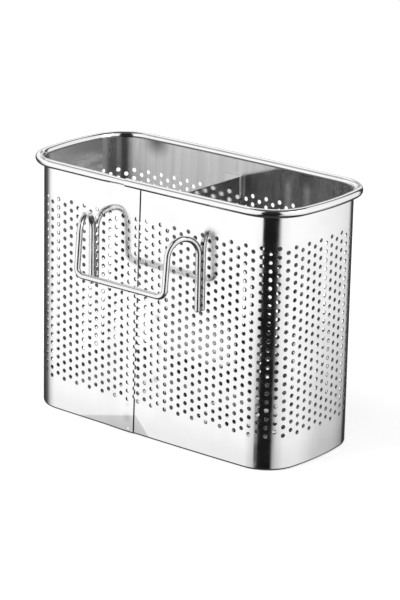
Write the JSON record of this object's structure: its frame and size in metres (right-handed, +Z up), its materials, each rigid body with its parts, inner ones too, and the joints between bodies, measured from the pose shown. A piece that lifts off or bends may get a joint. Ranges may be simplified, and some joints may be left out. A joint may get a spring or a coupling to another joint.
{
  "type": "chopstick holder",
  "caption": "Upright oval basket of perforated polished steel with a rolled rim and lap seam, split into two compartments by a centre panel, with a flat pan base and a wire hanger.",
  "frame": {"origin": "on the underside of the base pan, at the middle of the basket's oval plan", "axes": "+X to the right along the long side, -Y out of the front where the wire hanger is, +Z up"},
  "size_m": [0.1752, 0.1004, 0.1354],
  "materials": {
    "wall_steel": "mirror polished",
    "pan_steel": "polished, as pressed",
    "divider_steel": "mirror polished",
    "wire_steel": "polished wire"
  },
  "bodies": {
    "root": {"basket_wall": "wall_steel", "base_pan": "pan_steel", "divider_panel": "divider_steel", "hanger_wire": "wire_steel"}
  },
  "joints": []
}
